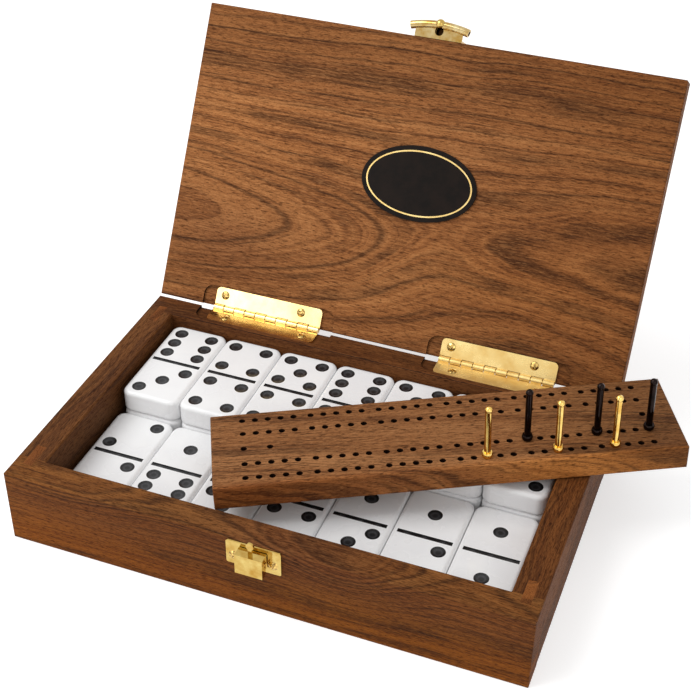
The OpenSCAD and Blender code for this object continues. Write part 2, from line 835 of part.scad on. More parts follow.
function hole_x(group, hole) = hole_start + group * group_pitch + hole * hole_pitch;

module peg_hole(x, y) {
    translate([x, y, board_t - hole_depth]) cylinder(h = hole_depth + cut, r = hole_r);
}

module scoring_board() {
    last = group_holes - 1;
    color(wood)
        on_board()
            difference() {
                eased_block([board_l, board_w, board_t], board_ease, board_ease);
                for (g = [0:groups - 1], h = [0:last], y = hole_rows) peg_hole(hole_x(g, h), y);
                for (h = [0, 2]) {
                    peg_hole(hole_x(0, h), board_w / 2);
                    peg_hole(hole_x(groups - 1, last - h), board_w / 2);
                }
            }
}

// A peg with its shank in the hole, a ball collar with flat ends on the board and a bead on top
module peg(place) {
    translate([hole_x(place[1], place[2]), hole_rows[place[0]], board_t + turn_play]) {
        intersection() {
            translate([0, 0, collar_h / 2]) sphere(collar_r);
            cylinder(h = collar_h, r = collar_r + cut);
        }
        translate([0, 0, -peg_in]) cylinder(h = peg_in + collar_h / 2, r = hole_r - part_gap);
        translate([0, 0, collar_h / 2]) cylinder(h = peg_h - bead_r - collar_h / 2, r = peg_r);
        translate([0, 0, peg_h - bead_r]) sphere(bead_r);
    }
}

module gold_peg(i) {
    color(brass) on_board() peg(gold_pegs[i - 1]);
}

module black_peg(i) {
    color(gunmetal) on_board() peg(black_pegs[i - 1]);
}

// ---- dominoes ----

// A domino from the origin, with `far` pips in its far half and `near` pips in its near half
module domino(far, near) {
    bowl_r = (pip_r * pip_r + pip_depth * pip_depth) / (2 * pip_depth);
    bar_l = tile_w - 2 * bar_end;
    bar_depth = 0.4;
    difference() {
        pebble_block([tile_w, tile_l, tile_t], tile_corner_r, tile_edge_r);
        for (half = [0, 1], p = pip_places[half == 0 ? near : far])
            translate([tile_w / 2 + p.x * pip_step, tile_l * (half + 0.5) / 2 + p.y * pip_step,
                       tile_t - pip_depth + bowl_r])
                sphere(bowl_r);
        translate([(tile_w - bar_l) / 2, (tile_l - bar_w) / 2, tile_t - bar_depth])
            cube([bar_l, bar_w, bar_depth + cut]);
    }
}

module place_tile(corner, i) {
    color(ivory) translate(corner + [(i - 1) * tile_pitch + tile_gap / 2, 0, 0]) children();
}

module back_tile(i) {
    value = domino_set[2 * tiles_in_row + i - 1];
    place_tile([back_row_x, back_row_y, layer_z[1]], i) domino(value[1], value[0]);
}

module under_tile(i) {
    value = domino_set[tiles_in_row + i - 1];
    place_tile([back_row_x, back_row_y, layer_z[0]], i) domino(value[1], value[0]);
}

module front_tile(i) {
    value = domino_set[tiles_in_row - i];
    place_tile([front_row_x, front_row_y, layer_z[0]], i) domino(value[0], value[1]);
}

front_wall();
back_wall();
left_wall();
right_wall();
bottom_panel();
corner_keys();
lid_panel();
badge_plate();
badge_ring();
left_lower_leaf();
left_upper_leaf();
left_hinge_pin();
right_lower_leaf();
right_upper_leaf();
right_hinge_pin();
lower_leaf_screws();
upper_leaf_screws();
latch_plate();
latch_lever();
latch_pin();
latch_spring();
latch_screws();
catch_plate();
catch_boss();
catch_screws();
scoring_board();
for (i = [1:len(gold_pegs)])
    gold_peg(i);
for (i = [1:len(black_pegs)])
    black_peg(i);
for (i = [1:tiles_in_row]) {
    back_tile(i);
    under_tile(i);
    front_tile(i);
}
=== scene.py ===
import json
import math
import bmesh
import bpy
from mathutils import Euler, Matrix, Vector


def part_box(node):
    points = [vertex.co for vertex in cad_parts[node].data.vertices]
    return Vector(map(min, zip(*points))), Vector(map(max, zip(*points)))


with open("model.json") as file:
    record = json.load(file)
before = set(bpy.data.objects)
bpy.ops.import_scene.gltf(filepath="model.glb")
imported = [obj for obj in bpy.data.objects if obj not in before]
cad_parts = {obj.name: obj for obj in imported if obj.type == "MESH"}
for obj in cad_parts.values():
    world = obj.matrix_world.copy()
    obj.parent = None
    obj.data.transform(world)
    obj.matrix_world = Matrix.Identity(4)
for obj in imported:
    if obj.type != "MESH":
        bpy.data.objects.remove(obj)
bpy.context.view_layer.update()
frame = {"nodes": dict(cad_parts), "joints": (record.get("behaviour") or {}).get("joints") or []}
nodes = frame["nodes"]

millimetres = 1000    # in a metre: every pattern below is laid out in millimetres
white = (1.0, 1.0, 1.0, 1.0)

# the open lid's inner face: patterns on it are turned back by the angle that it stands open
lidHinge = next(joint for joint in frame["joints"] if joint["name"] == "lid_hinge")
lidFace = dict(turn=(-lidHinge["range_deg"][0], 0, 0), centre=lidHinge["pos_m"])


def srgb(red, green, blue):
    # a colour as a screen shows it, on the standard curve to linear light
    def linear(value):
        value = value / 255
        return value / 12.92 if value < 0.04045 else ((value + 0.055) / 1.055) ** 2.4
    return (linear(red), linear(green), linear(blue), 1.0)


def newMaterial(name):
    material = bpy.data.materials.new(name)
    material.use_nodes = True
    return material, material.node_tree, material.node_tree.nodes["Principled BSDF"]


def addNode(tree, kind, inputs=None, **settings):
    node = tree.nodes.new("ShaderNode" + kind)
    for key, value in settings.items():
        setattr(node, key, value)
    for key, value in (inputs or {}).items():
        if isinstance(value, bpy.types.NodeSocket):
            tree.links.new(value, node.inputs[key])
        else:
            node.inputs[key].default_value = value
    return node


def calc(tree, operation, a, b=0.0, c=0.0):
    return addNode(tree, "Math", {0: a, 1: b, 2: c}, operation=operation).outputs[0]


def times(tree, first, *others):
    for other in others:
        first = calc(tree, "MULTIPLY", first, other)
    return first


def between(tree, value, low, high):
    # 1 between low and high, 0 elsewhere
    return times(tree, calc(tree, "GREATER_THAN", value, low), calc(tree, "LESS_THAN", value, high))


def distance(tree, sideways, upward):
    return calc(tree, "SQRT", calc(tree, "ADD", times(tree, sideways, sideways), times(tree, upward, upward)))


def swing(tree, ground, figure, amount):
    # noise lies round a half, so it moves the ground up and down by about as much
    return calc(tree, "MULTIPLY_ADD", calc(tree, "SUBTRACT", figure, 0.5), amount, ground)


def stretch(tree, vector, factors):
    return addNode(tree, "VectorMath", {0: vector, 1: factors}, operation="MULTIPLY").outputs[0]


def spread(tree, value, low, high, outLow=0.0, outHigh=1.0, ease="LINEAR"):
    inputs = {"Value": value, "From Min": low, "From Max": high, "To Min": outLow, "To Max": outHigh}
    return addNode(tree, "MapRange", inputs, clamp=True, interpolation_type=ease).outputs[0]


def softSpread(tree, value, low, high, outLow=0.0, outHigh=1.0):
    return spread(tree, value, low, high, outLow, outHigh, "SMOOTHSTEP")


def blendColour(tree, factor, first, second, mode="MIX"):
    node = addNode(tree, "Mix", data_type="RGBA", blend_type=mode)
    for key, value in (("Factor_Float", factor), ("A_Color", first), ("B_Color", second)):
        socket = next(s for s in node.inputs if s.identifier == key)
        if isinstance(value, bpy.types.NodeSocket):
            tree.links.new(value, socket)
        else:
            socket.default_value = value
    return next(s for s in node.outputs if s.identifier == "Result_Color")


def tinted(tree, colour, tint):
    return blendColour(tree, 1.0, colour, tint, "MULTIPLY")


def colourRamp(tree, factor, stops):
    node = addNode(tree, "ValToRGB", {"Fac": factor})
    ramp = node.color_ramp
    while len(ramp.elements) < len(stops):
        ramp.elements.new(0.5)
    for element, (place, colour) in zip(ramp.elements, stops):
        element.position = place
        element.color = colour
    return node.outputs["Color"]


def objectPlace(tree, turn=(0, 0, 0), centre=(0, 0, 0)):
    # object coordinates in millimetres, moved so that centre is the origin and then turned
    angles = [math.radians(angle) for angle in turn]
    moved = Euler(angles).to_matrix() @ Vector(centre) * millimetres
    source = addNode(tree, "TexCoord").outputs["Object"]
    return addNode(tree, "Mapping", {"Vector": source, "Rotation": angles, "Scale": [millimetres] * 3,
                                     "Location": -moved}).outputs[0]


def splitAxes(tree, vector):
    return list(addNode(tree, "SeparateXYZ", {0: vector}).outputs)


def noise(tree, vector, scale, detail, roughness):
    return addNode(tree, "TexNoise", {"Vector": vector, "Scale": scale, "Detail": detail,
                                      "Roughness": roughness}).outputs["Fac"]


def drawnNoise(tree, vector, fineness, detail, roughness):
    # noise with a fineness of its own along each axis
    return noise(tree, stretch(tree, vector, fineness), 1.0, detail, roughness)


def streakNoise(tree, value, scale, detail, roughness):
    return addNode(tree, "TexNoise", {"W": value, "Scale": scale, "Detail": detail, "Roughness": roughness},
                   noise_dimensions="1D").outputs["Fac"]


def dress(tree, shader, colour, roughness, height, relief):
    # relief is how strongly the height shows and how deep it is in metres
    strength, depth = relief
    bump = addNode(tree, "Bump", {"Height": height, "Strength": strength, "Distance": depth})
    for value, socket in ((colour, "Base Color"), (roughness, "Roughness"), (bump.outputs[0], "Normal")):
        tree.links.new(value, shader.inputs[socket])


def finish(names, material):
    for name in names:
        for slot in nodes[name].material_slots:
            slot.material = material


walnut = dict(
    dark=srgb(94, 54, 28),
    brown=srgb(142, 88, 47),
    pale=srgb(172, 114, 66),
    steps=(0.26, 0.46, 0.74),         # where dark, brown and pale stand on the ground tone
    line=srgb(40, 21, 10),
    poreColour=srgb(52, 24, 8),
    glint=srgb(196, 138, 86),
    # painted shade in the recesses of the boards
    hole=srgb(30, 14, 6),
    roughness=0.58,
    poreRoughness=0.2,                # what a pore adds to the roughness, and what a fibre does
    fibreRoughness=0.1,
    sheen=0.12,
    refraction=1.45,
    relief=(0.5, 0.0001),
    fibreRelief=0.3,
    seedStep=(1.0, 0.7, 0.0),         # which way a seed moves a board through the tree
    # figures in the wood: how fine each is along, across and through the board, its detail and roughness
    wave=((0.018, 0.03, 0.03), 2.0, 0.5),
    ripple=((0.05, 0.2, 0.2), 2.0, 0.5),
    cloud=((0.012, 0.025, 0.025), 3.0, 0.5),
    fibre=((0.045, 1.5, 1.5), 3.0, 0.65),
    stretches=((0.02, 0.06, 0.06), 2.0, 0.55),
    pore=((0.36, 2.8, 2.8), 1.5, 0.5),
    finePore=((0.9, 5.5, 5.5), 1.0, 0.5),
    waveReach=4,                      # how far waves and ripples push the rings, times the board's own waves
    rippleReach=0.9,
    bandAmount=0.55,                  # how much each figure changes the ground tone
    fineBandAmount=0.45,
    fibreAmount=0.6,
    cloudAmount=0.35,
    bandGrain=(2.0, 0.5),             # detail and roughness of the bands and of the lines between them
    fineBandGrain=(3.0, 0.65),
    lineGrain=(1.0, 0.5),
    fineBands=7,                      # how many times finer the narrow bands are than the broad ones
    # ranges: where each starts and ends on its figure, then what it gives there if not 0 and 1
    lineStretches=(0.38, 0.62, 0.15, 1.0),
    lineOnFibre=(0.3, 0.6, 1.0, 0.55),
    poreRange=(0.53, 0.70),
    finePoreRange=(0.54, 0.70, 0.0, 0.7),
    glintRange=(0.44, 0.30),
    glintAmount=0.25,
)

# a board's own coordinates: x along its grain, y across its width, z through its thickness
plainBoard = dict(
    turn=(0, 0, 0),                   # degrees
    centre=(0, 0, 0),                 # the board's own origin, in metres
    heart=(0, -45),                   # where the heart of the tree lies, across and through the board
    taper=0.0,                        # how much the rings open along the board
    waves=2.5,
    seed=0.0,
    swirls=(),                        # places that push the rings aside: x, y, half width, half height, push
    bands=0.11,
    lineScale=0.10,
    lineAmount=0.7,
    lineWidth=0.05,
    veins=(),                         # dark lines at chosen rings: which ring, half width, depth
    poreAmount=0.75,
    tones=(),                         # slow changes of tone, on some boards painted light and shade: axis, where it starts and ends, both tints
    patches=(),                       # darker or paler ovals, on some boards painted light and shade: x, y, half width, half height, tint
    shadedHollow=None,                      # the box in which recesses such as peg holes and mortises get painted shade: low and high on each axis
    # a tint over the whole board: partly its own tone, partly painted shade where it stands in shade
    light=(1.0, 1.0, 1.0),
)


def bell(tree, x, y, middleX, middleY, wide, high):
    # 1 in the middle of an oval patch of the board, falling off smoothly round it
    sideways = calc(tree, "DIVIDE", calc(tree, "SUBTRACT", x, middleX), wide)
    upward = calc(tree, "DIVIDE", calc(tree, "SUBTRACT", y, middleY), high)
    fall = calc(tree, "ADD", times(tree, sideways, sideways), times(tree, upward, upward))
    return calc(tree, "EXPONENT", times(tree, fall, -1.0))


def growthRings(tree, axes, shifted, look):
    x, y, z = axes
    heartY, heartZ = look["heart"]
    ring = distance(tree, calc(tree, "SUBTRACT", y, heartY), calc(tree, "SUBTRACT", z, heartZ))
    ring = calc(tree, "MULTIPLY_ADD", x, look["taper"], ring)
    for figure in ("wave", "ripple"):
        pushed = drawnNoise(tree, shifted, *walnut[figure])
        ring = swing(tree, ring, pushed, look["waves"] * walnut[figure + "Reach"])
    for *oval, push in look["swirls"]:
        ring = calc(tree, "MULTIPLY_ADD", bell(tree, x, y, *oval), push, ring)
    return ring


def groundTone(tree, seeded, shifted, fibre, look):
    # broad bands, narrow bands, long fibres and clouds
    figures = (
        (streakNoise(tree, seeded, look["bands"], *walnut["bandGrain"]), walnut["bandAmount"]),
        (streakNoise(tree, seeded, look["bands"] * walnut["fineBands"], *walnut["fineBandGrain"]),
         walnut["fineBandAmount"]),
        (fibre, walnut["fibreAmount"]),
        (drawnNoise(tree, shifted, *walnut["cloud"]), walnut["cloudAmount"]),
    )
    tone = 0.5
    for figure, amount in figures:
        tone = swing(tree, tone, figure, amount)
    colours = (walnut["dark"], walnut["brown"], walnut["pale"])
    return colourRamp(tree, tone, list(zip(walnut["steps"], colours)))


def darkLines(tree, ring, seeded, shifted, fibre, look):
    # thin lines where the streaks pass through a half, stronger in some stretches than in others
    streak = streakNoise(tree, seeded, look["lineScale"], *walnut["lineGrain"])
    ridge = calc(tree, "ABSOLUTE", calc(tree, "SUBTRACT", streak, 0.5))
    stretches = drawnNoise(tree, shifted, *walnut["stretches"])
    line = times(tree, softSpread(tree, ridge, 0.0, look["lineWidth"], 1.0, 0.0),
                 softSpread(tree, stretches, *walnut["lineStretches"]))
    for middle, wide, depth in look["veins"]:
        off = calc(tree, "DIVIDE", calc(tree, "SUBTRACT", ring, middle), wide)
        vein = times(tree, calc(tree, "EXPONENT", times(tree, off, off, -1.0)), depth)
        line = calc(tree, "MAXIMUM", line, vein)
    return times(tree, line, spread(tree, fibre, *walnut["lineOnFibre"]))


def tintedBoard(tree, colour, axes, look):
    # the tones and patches: the board's own tone, and on some boards painted light and shade
    x, y = axes[:2]
    tints = [blendColour(tree, softSpread(tree, axes[axis], start, end), first + (1.0,), last + (1.0,))
             for axis, start, end, first, last in look["tones"]]
    tints += [blendColour(tree, bell(tree, x, y, *oval), white, tint + (1.0,))
              for *oval, tint in look["patches"]]
    for tint in tints:
        colour = tinted(tree, colour, tint)
    return colour


def walnutMaterial(name, board):
    look = dict(plainBoard, **board)
    material, tree, shader = newMaterial(name)
    place = objectPlace(tree, look["turn"], look["centre"])
    axes = splitAxes(tree, place)
    shift = [look["seed"] * step for step in walnut["seedStep"]]
    shifted = addNode(tree, "VectorMath", {0: place, 1: shift}, operation="ADD").outputs[0]
    fibre = drawnNoise(tree, shifted, *walnut["fibre"])
    ring = growthRings(tree, axes, shifted, look)
    seeded = calc(tree, "ADD", ring, look["seed"])
    colour = groundTone(tree, seeded, shifted, fibre, look)
    line = times(tree, darkLines(tree, ring, seeded, shifted, fibre, look), look["lineAmount"])
    colour = blendColour(tree, line, colour, walnut["line"])

    # open pores are short dark dashes along the grain, with pale glints between them
    pore = drawnNoise(tree, shifted, *walnut["pore"])
    finePore = drawnNoise(tree, shifted, *walnut["finePore"])
    poreMask = calc(tree, "MAXIMUM", softSpread(tree, pore, *walnut["poreRange"]),
                    softSpread(tree, finePore, *walnut["finePoreRange"]))
    colour = blendColour(tree, times(tree, poreMask, look["poreAmount"]), colour, walnut["poreColour"])
    glint = times(tree, softSpread(tree, pore, *walnut["glintRange"]), walnut["glintAmount"])
    colour = blendColour(tree, glint, colour, walnut["glint"])

    colour = tintedBoard(tree, colour, axes, look)
    # painted shade in the recesses: peg holes and hinge mortises
    if look["shadedHollow"]:
        inside = times(tree, *(between(tree, axis, *limits) for axis, limits in zip(axes, look["shadedHollow"])))
        colour = blendColour(tree, inside, colour, walnut["hole"])
    # the whole-board tint: partly its own tone, partly painted shade
    colour = tinted(tree, colour, look["light"] + (1.0,))

    rough = calc(tree, "MULTIPLY_ADD", poreMask, walnut["poreRoughness"], walnut["roughness"])
    rough = calc(tree, "MULTIPLY_ADD", fibre, walnut["fibreRoughness"], rough)
    height = calc(tree, "MULTIPLY_ADD", fibre, walnut["fibreRelief"], times(tree, poreMask, -1.0))
    dress(tree, shader, colour, rough, height, walnut["relief"])
    shader.inputs["IOR"].default_value = walnut["refraction"]
    shader.inputs["Specular IOR Level"].default_value = walnut["sheen"]
    return material


lidBoard = dict(
    lidFace, heart=(-47, -11), waves=1.6, seed=11.0, lineAmount=0.9,
    swirls=((-125, -47, 78, 40, -27), (-110, -120, 90, 45, 6), (118, -84, 75, 20, -14),
            (18, -42, 34, 22, 13), (80, -30, 60, 22, 14), (60, 0, 40, 20, 8)),
    veins=((15, 0.9, 1.0), (-1, 0.9, 1.0), (31, 0.8, 1.0), (25, 0.4, 0.4), (5, 0.4, 0.4),
           (40.5, 0.5, 0.8), (47, 0.5, 0.7), (54, 0.5, 0.8), (60.5, 0.5, 0.8), (67, 0.7, 1.0),
           (73.5, 0.5, 0.8), (80, 0.7, 1.0), (86, 0.5, 0.9), (92.5, 0.7, 1.0), (98.5, 0.5, 0.7)),
    # painted shade in the mortises of the lid's hinges
    shadedHollow=((-112, 112), (-16, -1), (0.24, 1.5)),
    patches=((-88, -32, 28, 16, (0.76, 0.74, 0.78)), (-70, -88, 60, 26, (1.18, 1.18, 1.14)),
             (-15, -12, 40, 16, (1.1, 1.1, 1.1)), (60, -40, 50, 16, (1.1, 1.08, 1.0))),
    tones=((1, -145, -95, (0.84, 0.82, 0.76), (1.04, 1.06, 1.08)),
           (0, -10, 115, (1.06, 1.07, 1.1), (0.82, 0.76, 0.68)),
           (1, -50, -12, (1.0, 1.0, 1.0), (0.92, 0.9, 0.86))),
)

frontBoard = dict(
    turn=(-90, 0, 0), heart=(55, 60), taper=0.02, waves=1.6, seed=47.0, lineAmount=0.9,
    light=(0.58, 0.48, 0.28),
    swirls=((36, 34, 24, 18, -6), (-35, 34, 30, 12, 4), (90, 34, 30, 14, 5)),
    veins=((19.5, 0.4, 0.8), (21.5, 0.5, 1.0), (24.5, 0.5, 1.0), (27.5, 0.4, 0.8), (31, 0.4, 0.7),
           (36, 0.4, 0.6), (43, 0.4, 0.5)),
    patches=((15, 36, 40, 12, (0.96, 0.94, 1.2)), (60, 12, 60, 16, (1.04, 1.07, 0.95)),
             (88, 32, 34, 12, (1.3, 1.34, 1.45)), (-80, 30, 40, 12, (1.1, 1.1, 1.15))),
    # the first tone is painted bounce light, warmer and brighter towards the bottom; the last is a painted
    # pale sheen along the top edge
    tones=((1, 8, 26, (1.2, 1.1, 0.68), (0.94, 0.94, 1.0)),
           (0, -70, -115, (1.0, 1.0, 1.0), (1.15, 1.15, 1.05)),
           (1, 35.5, 36.4, (1.0, 1.0, 1.0), (1.1, 1.25, 1.5))),
)

scoringBoard = dict(
    turn=(-0.4215, 2.3911, -26.6215),           # how it lies turned and leaning, undone about X, Y and Z
    centre=(-0.0256, -0.0547, 0.030937),        # its near left lower corner
    heart=(-60, -20), taper=0.13, waves=2.0, seed=301.0, light=(0.96, 1.05, 1.22), poreAmount=0.85,
    lineScale=0.4, lineAmount=0.75, lineWidth=0.11,
    # painted shade in the peg holes
    shadedHollow=((1.5, 198), (1.5, 46.9), (3, 11.3)),
    tones=((0, 120, 199, (1.0, 1.0, 1.0), (0.66, 0.64, 0.58)),),
    # painted light and shade along the front edge: brighter at the right, darker at the left
    patches=((160, -2, 60, 3.2, (1.85, 1.5, 0.78)), (20, -2, 60, 3.2, (0.95, 0.6, 0.22))),
)

# painted shade in the back wall's mortises for the hinges; its light tint is partly its own tone and partly
# painted shade
backBoard = dict(heart=(70, 40), taper=0.03, waves=3.0, seed=83.0, light=(0.5, 0.45, 0.4),
                 shadedHollow=((-112, 112), (59.3, 71.9), (35.35, 36.5)))

# the side walls' light tints are partly their own tone and partly painted shade
sideBoard = dict(turn=(0, 0, -90), taper=0.03, waves=3.0)
leftBoard = dict(sideBoard, heart=(60, -25), seed=129.0, light=(0.5, 0.48, 0.42),
                 # painted shade: the left wall darker towards its bottom
                 tones=((2, 20, 36, (0.5, 0.52, 0.6), (1.0, 1.0, 1.0)),))
rightBoard = dict(sideBoard, heart=(-140, 25), seed=171.0, light=(0.5, 0.44, 0.35))

bottomBoard = dict(heart=(10, -60), taper=0.10, seed=213.0, light=(0.7, 0.65, 0.6))
cornerKeys = dict(turn=(0, 90, 0), heart=(0, -90), seed=255.0, light=(0.72, 0.6, 0.45))

boards = {
    "lid_panel": lidBoard,
    "front_wall": frontBoard,
    "back_wall": backBoard,
    "left_wall": leftBoard,
    "right_wall": rightBoard,
    "bottom_panel": bottomBoard,
    "corner_keys": cornerKeys,
    "scoring_board": scoringBoard,
}
for name, board in boards.items():
    finish([name], walnutMaterial("walnut_" + name, board))
print("walnut on", len(boards), "boards")


metal = dict(
    cloudGrain=(3.0, 0.6),            # detail and roughness of the cloud of painted reflections and of the brushing
    brushGrain=(2.0, 0.6),
    steps=(0.3, 0.7),                 # where deep and bright stand on the cloud of painted reflections
    brushShare=0.5,                   # how much the brushing changes the gloss
    glossRange=(0.4, 1.1),
    depth=0.00005,
)

brassLook = dict(deep=srgb(222, 186, 118), bright=srgb(248, 222, 160), cloudScale=0.08,
                 brush=(0.2, 3.0, 3.0), gloss=(0.10, 0.2), relief=0.04, metallic=1.0)
satinLook = dict(brassLook, deep=srgb(232, 192, 112), bright=srgb(252, 224, 152), cloudScale=0.12,
                 brush=(0.3, 4.0, 4.0), gloss=(0.18, 0.32), relief=0.12, metallic=0.6)
goldLook = dict(brassLook, deep=srgb(180, 138, 60), bright=srgb(210, 185, 112), cloudScale=0.2,
                brush=(0.3, 3.0, 3.0), gloss=(0.06, 0.14), relief=0.05)
pegLook = dict(goldLook, deep=srgb(214, 164, 72), bright=srgb(250, 220, 134))
catchLook = dict(goldLook, bright=srgb(214, 196, 148))
# the screws' very dark deep and pale bright are painted shade and painted highlight, speckled over their
# heads
screwLook = dict(brassLook, deep=srgb(70, 34, 10), bright=srgb(255, 216, 130), cloudScale=1.3,
                 brush=(3.0, 3.0, 3.0), gloss=(0.12, 0.24), relief=0.3)
gunmetalLook = dict(brassLook, deep=srgb(14, 9, 8), bright=srgb(40, 29, 26), cloudScale=0.2,
                    brush=(3.0, 3.0, 0.2), gloss=(0.03, 0.07), relief=0.02, metallic=0.9)
springLook = dict(brassLook, deep=srgb(120, 118, 112), bright=srgb(160, 158, 150), cloudScale=0.3,
                  brush=(1.0, 4.0, 4.0), gloss=(0.25, 0.4), relief=0.05)

# painted shade inside the blind hole in the catch: where its middle is on the lid's face, its radius and both
# its ends
catchHole = dict(up=-148.2, radius=2.58, ends=(0.3, 4.6), shadow=srgb(40, 24, 10))


def darkenHole(tree, colour, hole):
    # paints shade inside the hole, within its radius and between its ends
    x, y, z = splitAxes(tree, objectPlace(tree, **lidFace))
    away = distance(tree, x, calc(tree, "SUBTRACT", y, hole["up"]))
    inside = times(tree, calc(tree, "LESS_THAN", away, hole["radius"]), between(tree, z, *hole["ends"]))
    return blendColour(tree, inside, colour, hole["shadow"])


def metalMaterial(name, look, hole=None):
    material, tree, shader = newMaterial(name)
    place = objectPlace(tree)
    # the cloud between deep and bright is painted reflection of the surroundings
    cloud = noise(tree, place, look["cloudScale"], *metal["cloudGrain"])
    brushed = drawnNoise(tree, place, look["brush"], *metal["brushGrain"])
    colour = colourRamp(tree, cloud, list(zip(metal["steps"], (look["deep"], look["bright"]))))
    if hole:
        colour = darkenHole(tree, colour, hole)
    wear = calc(tree, "MULTIPLY_ADD", brushed, metal["brushShare"], cloud)
    rough = spread(tree, wear, *metal["glossRange"], *look["gloss"])
    dress(tree, shader, colour, rough, brushed, (look["relief"], metal["depth"]))
    shader.inputs["Metallic"].default_value = look["metallic"]
    return material


def starting(word):
    return [name for name in nodes if name.startswith(word)]


screws = [name for name in nodes if name.endswith("_screws")]
goldPieces = ["left_hinge_pin", "right_hinge_pin", "latch_plate", "latch_lever", "latch_pin", "catch_boss"]
finish(["left_lower_leaf", "left_upper_leaf"], metalMaterial("polished_brass", brassLook))
finish(["right_lower_leaf", "right_upper_leaf", "badge_ring"], metalMaterial("satin_brass", satinLook))
finish(goldPieces, metalMaterial("gold_brass", goldLook))
finish(screws, metalMaterial("screw_brass", screwLook))
finish(starting("gold_peg"), metalMaterial("peg_brass", pegLook))
finish(starting("black_peg"), metalMaterial("black_metal", gunmetalLook))
finish(["catch_plate"], metalMaterial("catch_brass", catchLook, catchHole))
finish(["latch_spring"], metalMaterial("spring_steel", springLook))
print("metals done")


def tileBox(name):
    return [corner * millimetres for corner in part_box(name)]


# how the dominoes lie, measured on four of them
backLow, backHigh = tileBox("back_tile_1")
nextLow, frontLow, underLow = (tileBox(name)[0] for name in ("back_tile_2", "front_tile_1", "under_tile_1"))
tilePitch = (nextLow.x - backLow.x, backLow.y - frontLow.y, backLow.z - underLow.z)
halfGap = (tilePitch[0] - (backHigh.x - backLow.x)) / 2

tiles = dict(
    frontStart=frontLow.x - halfGap,  # where each row's first tile has its left edge, with half a gap
    backStart=backLow.x - halfGap,
    corner=(backLow.y, underLow.z),   # the back row's front edge and the floor of the box
    pitch=tilePitch,                  # from one tile to the next, row to row and layer to layer
    length=backHigh.y - backLow.y,
    margins=(2.25, 3.09),             # inside these the face holds only pips and the bar
    skin=0.02,                        # how far under the face the black starts, and how far it goes
    deepest=0.7,
    step=7.9,                         # between the pips of a half
    pipRing=(0.8, 1.6, 2.5),          # a pip is black in its middle, painted grey reflection round it, and black at its rim
    middleGrey=0.15,                  # how much of the grey the middle keeps
    gritOnGrey=(0.35, 0.65, 0.5, 1.0),    # from where to where on the grit, and the grey's share there
    resin=srgb(244, 244, 244),
    shade=srgb(238, 238, 239),
    shadeRange=(0.35, 0.65),
    ink=srgb(10, 10, 11),
    # the grey of the painted reflection in the pips, speckled by the grit
    inkSheen=srgb(62, 62, 65),
    cloud=(0.05, 3.0, 0.55),          # scale, detail and roughness of the slow change in the white
    grit=(1.8, 2.0, 0.5),
    gloss=(0.3, 0.7, 0.22, 0.32),
    inkRoughness=0.1,
    relief=(0.04, 0.0001),
    sheen=0.45,
)


def inkMask(tree, local, look):
    # 1 in the pips and the bar, which lie under the face and inside its margins
    top = look["pitch"][2]
    mask = between(tree, local[2], top - look["deepest"], top - look["skin"])
    for along, span, margin in zip(local, (look["pitch"][0], look["length"]), look["margins"]):
        mask = times(tree, mask, between(tree, along, margin, span - margin))
    return mask


def pipGrey(tree, local, look):
    # a grey ring of painted reflection round the middle of the nearest pip
    quarter = look["length"] / 4
    fromBar = calc(tree, "ABSOLUTE", calc(tree, "SUBTRACT", local[1], quarter * 2))
    step = look["step"]
    nearest = []
    for along, middle in ((local[0], look["pitch"][0] / 2), (fromBar, quarter)):
        offset = calc(tree, "ADD", calc(tree, "SUBTRACT", along, middle), step / 2)
        nearest.append(calc(tree, "SUBTRACT", calc(tree, "FLOORED_MODULO", offset, step), step / 2))
    away = distance(tree, *nearest)
    inner, crest, rim = look["pipRing"]
    return times(tree, softSpread(tree, away, inner, crest, look["middleGrey"], 1.0),
                 softSpread(tree, away, crest, rim, 1.0, 0.0))


def dominoMaterial(look):
    material, tree, shader = newMaterial("domino_resin")
    place = objectPlace(tree)
    axes = splitAxes(tree, place)
    isBack = calc(tree, "GREATER_THAN", axes[1], look["corner"][0])
    rowStart = spread(tree, isBack, 0.0, 1.0, look["frontStart"], look["backStart"])
    local = [calc(tree, "FLOORED_MODULO", calc(tree, "SUBTRACT", axis, start), pitch)
             for axis, start, pitch in zip(axes, (rowStart,) + look["corner"], look["pitch"])]
    mask = inkMask(tree, local, look)
    cloud = noise(tree, place, *look["cloud"])
    grit = noise(tree, place, *look["grit"])
    grey = times(tree, pipGrey(tree, local, look), softSpread(tree, grit, *look["gritOnGrey"]))
    resin = blendColour(tree, softSpread(tree, cloud, *look["shadeRange"]), look["resin"], look["shade"])
    ink = blendColour(tree, grey, look["ink"], look["inkSheen"])
    rough = calc(tree, "MULTIPLY_ADD", mask, look["inkRoughness"], spread(tree, cloud, *look["gloss"]))
    dress(tree, shader, blendColour(tree, mask, resin, ink), rough, grit, look["relief"])
    shader.inputs["Specular IOR Level"].default_value = look["sheen"]
    return material


finish([name for name in nodes if "_tile_" in name], dominoMaterial(tiles))
print("dominoes done")


badge = dict(
    deep=srgb(14, 9, 6),
    bright=srgb(26, 17, 12),
    cloud=(0.12, 3.0, 0.6),
    grit=(3.0, 2.0, 0.6),
    range=(0.3, 0.7),                 # the part of the cloud and the grit that is used
    gloss=(0.3, 0.42),
    relief=(0.1, 0.00005),
    sheen=0.1,
)


def badgeMaterial(look):
    material, tree, shader = newMaterial("badge_enamel")
    place = objectPlace(tree, **lidFace)
    cloud = noise(tree, place, *look["cloud"])
    grit = noise(tree, place, *look["grit"])
    colour = blendColour(tree, softSpread(tree, cloud, *look["range"]), look["deep"], look["bright"])
    rough = spread(tree, grit, *look["range"], *look["gloss"])
    dress(tree, shader, colour, rough, grit, look["relief"])
    shader.inputs["Specular IOR Level"].default_value = look["sheen"]
    return material


finish(["badge_plate"], badgeMaterial(badge))
print("badge done")


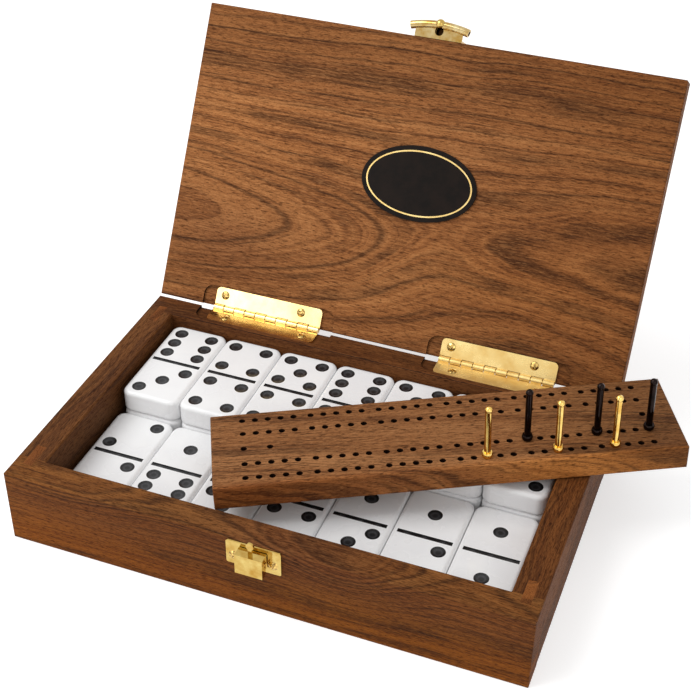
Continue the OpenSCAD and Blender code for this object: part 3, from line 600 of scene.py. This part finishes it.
def seenDirectly(tree):
    # 1 where the camera sees it: straight, in a shiny surface or through glass
    path = addNode(tree, "LightPath").outputs
    seen = calc(tree, "MAXIMUM", path["Is Camera Ray"], path["Is Glossy Ray"])
    return calc(tree, "MAXIMUM", seen, path["Is Transmission Ray"])


paper = dict(size=8.0, colour=srgb(236, 236, 236), glow=0.5)


def makeFloor(look):
    mesh = bmesh.new()
    bmesh.ops.create_grid(mesh, x_segments=1, y_segments=1, size=look["size"] / 2)
    data = bpy.data.meshes.new("floor")
    mesh.to_mesh(data)
    mesh.free()
    floor = bpy.data.objects.new("floor", data)
    bpy.context.scene.collection.objects.link(floor)
    material = bpy.data.materials.new("floor_paper")
    material.use_nodes = True
    tree = material.node_tree
    tree.nodes.clear()
    plain = addNode(tree, "BsdfDiffuse", {"Color": look["colour"]}).outputs[0]
    glow = addNode(tree, "Emission", {"Color": white, "Strength": look["glow"]}).outputs[0]
    both = addNode(tree, "AddShader", {0: plain, 1: glow}).outputs[0]
    mixed = addNode(tree, "MixShader", {0: seenDirectly(tree), 1: plain, 2: both}).outputs[0]
    addNode(tree, "OutputMaterial", {"Surface": mixed})
    data.materials.append(material)


sky = dict(seen=1.0, lighting=0.6)    # how strong it looks, and how strongly it lights the box


def makeSky(look):
    world = bpy.data.worlds.new("studio")
    bpy.context.scene.world = world
    world.use_nodes = True
    tree = world.node_tree
    tree.nodes.clear()
    extra = look["seen"] - look["lighting"]
    strength = calc(tree, "MULTIPLY_ADD", seenDirectly(tree), extra, look["lighting"])
    light = addNode(tree, "Background", {"Color": white, "Strength": strength}).outputs[0]
    addNode(tree, "OutputWorld", {"Surface": light})


lamps = dict(
    key=dict(place=(-0.75, -0.35, 1.25), aim=(0, 0, 0.03), size=0.9, power=10.5),
    fill=dict(place=(0.9, -1.0, 0.8), aim=(0, 0, 0.03), size=1.0, power=2.8),
    panel=dict(place=(-0.50, -0.72, 0.42), aim=(-0.058, 0.09, 0.045), size=0.34, power=0.9),
)


def makeLamp(name, look):
    lamp = bpy.data.lights.new(name, "AREA")
    lamp.energy = look["power"]
    lamp.size = look["size"]
    item = bpy.data.objects.new(name, lamp)
    bpy.context.scene.collection.objects.link(item)
    item.location = look["place"]
    away = Vector(look["place"]) - Vector(look["aim"])
    item.rotation_euler = away.to_track_quat("Z", "Y").to_euler()


view = dict(
    place=(0.17489, -0.43576, 0.42739),
    around=20.633,                    # degrees round the box from straight in front
    above=36.095,                     # degrees down onto it
    tilt=0.643,
    lens=72.786,
    sensor=36,
    nearest=0.01,                     # nothing nearer than this is shown
)


def makeCamera(look):
    data = bpy.data.cameras.new("camera")
    data.lens = look["lens"]
    data.sensor_width = look["sensor"]
    data.sensor_fit = "AUTO"
    data.clip_start = look["nearest"]
    camera = bpy.data.objects.new("camera", data)
    bpy.context.scene.collection.objects.link(camera)
    turn = Matrix.Identity(4)
    for angle, axis in ((look["around"], "Z"), (90 - look["above"], "X"), (look["tilt"], "Z")):
        turn = turn @ Matrix.Rotation(math.radians(angle), 4, axis)
    camera.matrix_world = Matrix.Translation(look["place"]) @ turn
    bpy.context.scene.camera = camera


makeFloor(paper)
makeSky(sky)
for name, lamp in lamps.items():
    makeLamp(name, lamp)
makeCamera(view)
bpy.context.scene.view_settings.view_transform = "Standard"
print("stage, lights and camera done")
